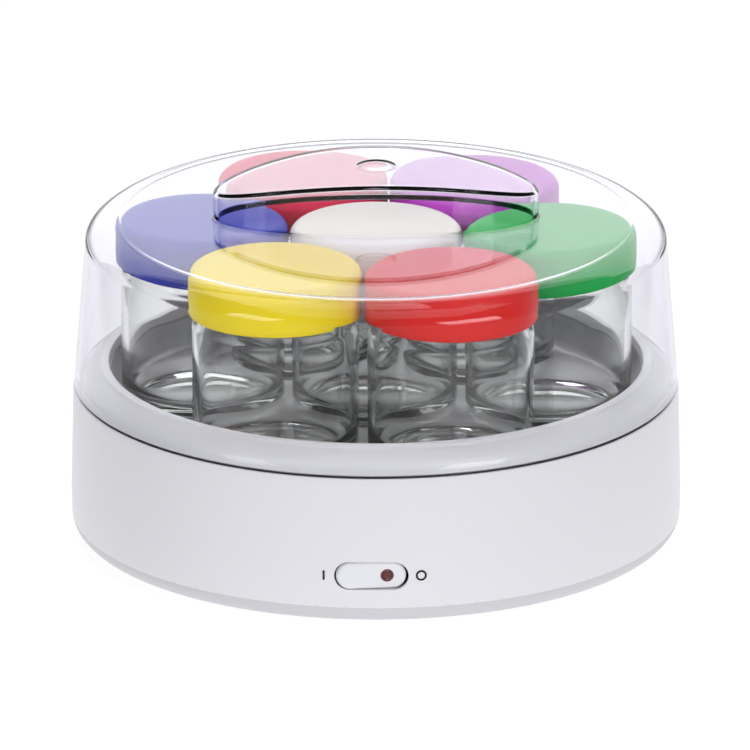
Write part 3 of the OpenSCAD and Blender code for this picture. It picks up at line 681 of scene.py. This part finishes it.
def make_cap(place):
    slot, colour = CAP_COLOURS[place]
    material = moulded_plastic(slot + "_look", colour, 0.38)
    low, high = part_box("cap_" + place)
    centre = ((low.x + high.x) / 2, (low.y + high.y) / 2)
    r, z0, z1 = (high.x - low.x) / 2, low.z, high.z
    wall, edge = 1.6 * MM, 4.0 * MM
    profile = [(0, z1 - 0.25 * MM), (r - 9 * MM, z1 - 0.2 * MM), (r - 6.2 * MM, z1)]
    profile += arc(r - edge - 0.15 * MM, z1 - edge, edge, 90, 0, 10)
    profile += [(r - 0.05 * MM, z0 + 3 * MM), (r, z0 + 0.5 * MM)]
    profile += [(r - 0.3 * MM, z0), (r - wall + 0.3 * MM, z0)]
    profile += [(r - wall, z0 + 0.4 * MM)]
    profile += arc(r - wall - 1.4 * MM, z1 - wall - 1.4 * MM, 1.4 * MM, 0, 90, 4)
    profile += [(0, z1 - wall)]
    mesh = lathe("jar_cap_" + place, profile, centre, 128, sharp_deg=50)
    return new_object("jar_cap_" + place, mesh, material, "cap_" + place, ["cap_" + place])


# ---------------------------------------------------------------- CAD nodes that stay

KEPT = {
    "bottom_plate": PLATE_SHADED_WHITE, "rubber_feet": RUBBER,
    "housing_screws": STEEL, "basin": BASIN_GREY, "basin_gasket": GLAND_GREY, "basin_clips": STEEL,
    "clip_screws": STEEL, "heater_plate": STEEL, "insulation_pad": GLAND_GREY, "heater_bracket": STEEL,
    "heater_nut": STEEL, "thermostat": DARK, "thermal_fuse": STEEL, "fuse_clip": STEEL,
    "switch_body": DARK, "switch_terminals": BRASS, "indicator_lamp": RED_PLASTIC,
    "cord_gland": GLAND_GREY,
    "terminal_block": GLAND_GREY, "terminal_screws": BRASS, "lead_live": DARK, "lead_switched": DARK,
    "lead_fused": DARK, "lead_heater": DARK, "lead_neutral": DARK,
}


def dress_cad_nodes():
    for name, material in KEPT.items():
        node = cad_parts[name]
        for k in range(max(1, len(node.material_slots))):
            if k < len(node.material_slots):
                node.material_slots[k].material = material
            else:
                node.data.materials.append(material)


# ---------------------------------------------------------------- stage, light and camera

CAMERA_ELEVATION = 18.7
CAMERA_TURN = 0.85
CAMERA_DISTANCE = 5.0
VIEW_WIDTH = 0.3010
TARGET_Z = 0.0637
TARGET_X = -0.0004


def make_stage():
    """A pale floor that glows a little, as a lit studio table does, and a backdrop far behind."""
    sides = {"studio_floor": ((36, 36), (0, 0, 0), 0, FLOOR_GLOW),
             "studio_backdrop": ((28, 14), (0, 14, 7), 90, BACKDROP_GLOW)}
    for name, ((wide, deep), place, tilt, glow) in sides.items():
        bm = bmesh.new()
        bmesh.ops.create_grid(bm, x_segments=2, y_segments=2, size=0.5)
        bmesh.ops.scale(bm, vec=(wide, deep, 1), verts=bm.verts)
        mesh = bpy.data.meshes.new(name)
        bm.to_mesh(mesh)
        bm.free()
        sheet = plain_object(name, mesh)
        sheet.location = place
        sheet.rotation_euler.x = math.radians(tilt)
        n = Nodes(name + "_look")
        n.link(n.ramp(n.noise(3.0, 2.0), FLOOR_GREY, FLOOR_GREY * 1.02), "Base Color")
        n.put(Roughness=0.9, Specular_IOR_Level=0.1)
        n.put(Emission_Color=(1.0, 1.0, 1.0, 1), Emission_Strength=glow)
        if name == "studio_floor":
            light_pool(n, glow)
        mesh.materials.append(n.material)


POOL_CENTRE = (0.0, 0.20, 0.0)
POOL_SIZE = (0.36, 0.57, 1.0)
POOL_EDGE = 1.2
POOL_DIM = 0.32


def light_pool(n, glow):
    """Painted pool of light: the floor's glow fades with distance from the object, as under a lamp."""
    shift = n.tree.nodes.new("ShaderNodeMapping")
    shift.vector_type = "TEXTURE"
    shift.inputs["Location"].default_value = POOL_CENTRE
    shift.inputs["Scale"].default_value = POOL_SIZE
    n.tree.links.new(n.place, shift.inputs["Vector"])
    size = n.tree.nodes.new("ShaderNodeVectorMath")
    size.operation = "LENGTH"
    n.tree.links.new(shift.outputs["Vector"], size.inputs[0])
    fade = n.tree.nodes.new("ShaderNodeMapRange")
    fade.interpolation_type = "SMOOTHSTEP"
    settings = {"From Min": 1.0, "From Max": POOL_EDGE, "To Min": glow, "To Max": glow * POOL_DIM}
    for key, value in settings.items():
        fade.inputs[key].default_value = value
    n.tree.links.new(size.outputs["Value"], fade.inputs["Value"])
    n.link(fade.outputs["Result"], "Emission Strength")


FLOOR_GREY = 0.3
FLOOR_GLOW = 0.80
BACKDROP_GLOW = 1.3
SKY_DARK = (0.15, 0.145, 0.20)
SKY_HIGH = (0.30, 0.30, 0.32)
SKY_BRIGHT = (0.80, 0.81, 0.86)


def make_world():
    """A room that is bright in front and behind and dark at both sides, so clear edges show."""
    world = bpy.data.worlds.new("studio_world")
    world.use_nodes = True
    tree = world.node_tree
    place = tree.nodes.new("ShaderNodeTexCoord")
    split = tree.nodes.new("ShaderNodeSeparateXYZ")
    side = tree.nodes.new("ShaderNodeMath")
    side.operation = "ABSOLUTE"
    ramp = tree.nodes.new("ShaderNodeValToRGB")
    ramp.color_ramp.interpolation = "EASE"
    ramp.color_ramp.elements[0].position = 0.45
    ramp.color_ramp.elements[0].color = (*SKY_BRIGHT, 1)
    ramp.color_ramp.elements[1].position = 0.9
    ramp.color_ramp.elements[1].color = (*SKY_DARK, 1)
    tree.links.new(place.outputs["Generated"], split.inputs[0])
    tree.links.new(split.outputs["X"], side.inputs[0])
    tree.links.new(side.outputs[0], ramp.inputs["Fac"])
    high = tree.nodes.new("ShaderNodeValToRGB")
    high.color_ramp.interpolation = "EASE"
    high.color_ramp.elements[0].position, high.color_ramp.elements[0].color = 0.34, (1, 1, 1, 1)
    high.color_ramp.elements[1].position, high.color_ramp.elements[1].color = 0.55, (*SKY_HIGH, 1)
    tree.links.new(split.outputs["Z"], high.inputs["Fac"])
    blend = tree.nodes.new("ShaderNodeMix")
    blend.data_type, blend.blend_type = "RGBA", "MULTIPLY"
    blend.inputs["Factor"].default_value = 1.0
    tree.links.new(ramp.outputs["Color"], blend.inputs["A"])
    tree.links.new(high.outputs["Color"], blend.inputs["B"])
    tree.links.new(blend.outputs["Result"], tree.nodes["Background"].inputs["Color"])
    tree.nodes["Background"].inputs["Strength"].default_value = 0.8
    bpy.context.scene.world = world


def add_softbox(name, place, size, power, shows=True, target=(0, 0, 0.08)):
    light = bpy.data.lights.new(name, "AREA")
    light.shape = "RECTANGLE"
    light.size, light.size_y = size
    light.energy = power
    lamp = bpy.data.objects.new(name, light)
    lamp.location = place
    lamp.rotation_euler = (Vector(target) - Vector(place)).to_track_quat("-Z", "Y").to_euler()
    lamp.visible_camera = False
    lamp.visible_glossy = shows
    bpy.context.scene.collection.objects.link(lamp)


def make_camera():
    data = bpy.data.cameras.new("camera")
    data.sensor_width = 36.0
    data.lens = data.sensor_width * CAMERA_DISTANCE / (VIEW_WIDTH * 1.0)
    data.clip_end = 100.0
    camera = bpy.data.objects.new("camera", data)
    e, a = math.radians(CAMERA_ELEVATION), math.radians(CAMERA_TURN)
    back = Vector((math.sin(a) * math.cos(e), -math.cos(a) * math.cos(e), math.sin(e)))
    camera.location = Vector((TARGET_X, 0, TARGET_Z)) + back * CAMERA_DISTANCE
    camera.rotation_mode = "QUATERNION"
    camera.rotation_quaternion = (-back).to_track_quat("-Z", "Y")
    bpy.context.scene.collection.objects.link(camera)
    bpy.context.scene.camera = camera


make_camera()
make_stage()
make_world()
add_softbox("key_light", (1.5, -1.8, 1.3), (1.0, 1.2), 24)
add_softbox("fill_light", (-1.8, -1.5, 1.2), (0.8, 1.4), 14)
add_softbox("top_light", (0, 0.2, 2.4), (1.8, 1.4), 14, shows=False)
add_softbox("back_light", (-0.4, 1.3, 2.2), (1.2, 0.8), 7, shows=False)
bpy.context.scene.view_settings.view_transform = "Standard"
bpy.context.scene.cycles.max_bounces = 24
bpy.context.scene.cycles.transmission_bounces = 24
bpy.context.scene.cycles.transparent_max_bounces = 24
dress_cad_nodes()
make_base_shell()
make_groove_shadow()
make_rocker()
make_rocker_skirt()
make_lens()
make_marks()
make_cover()
for jar_place in PLACES:
    make_jar(jar_place)
    make_cap(jar_place)
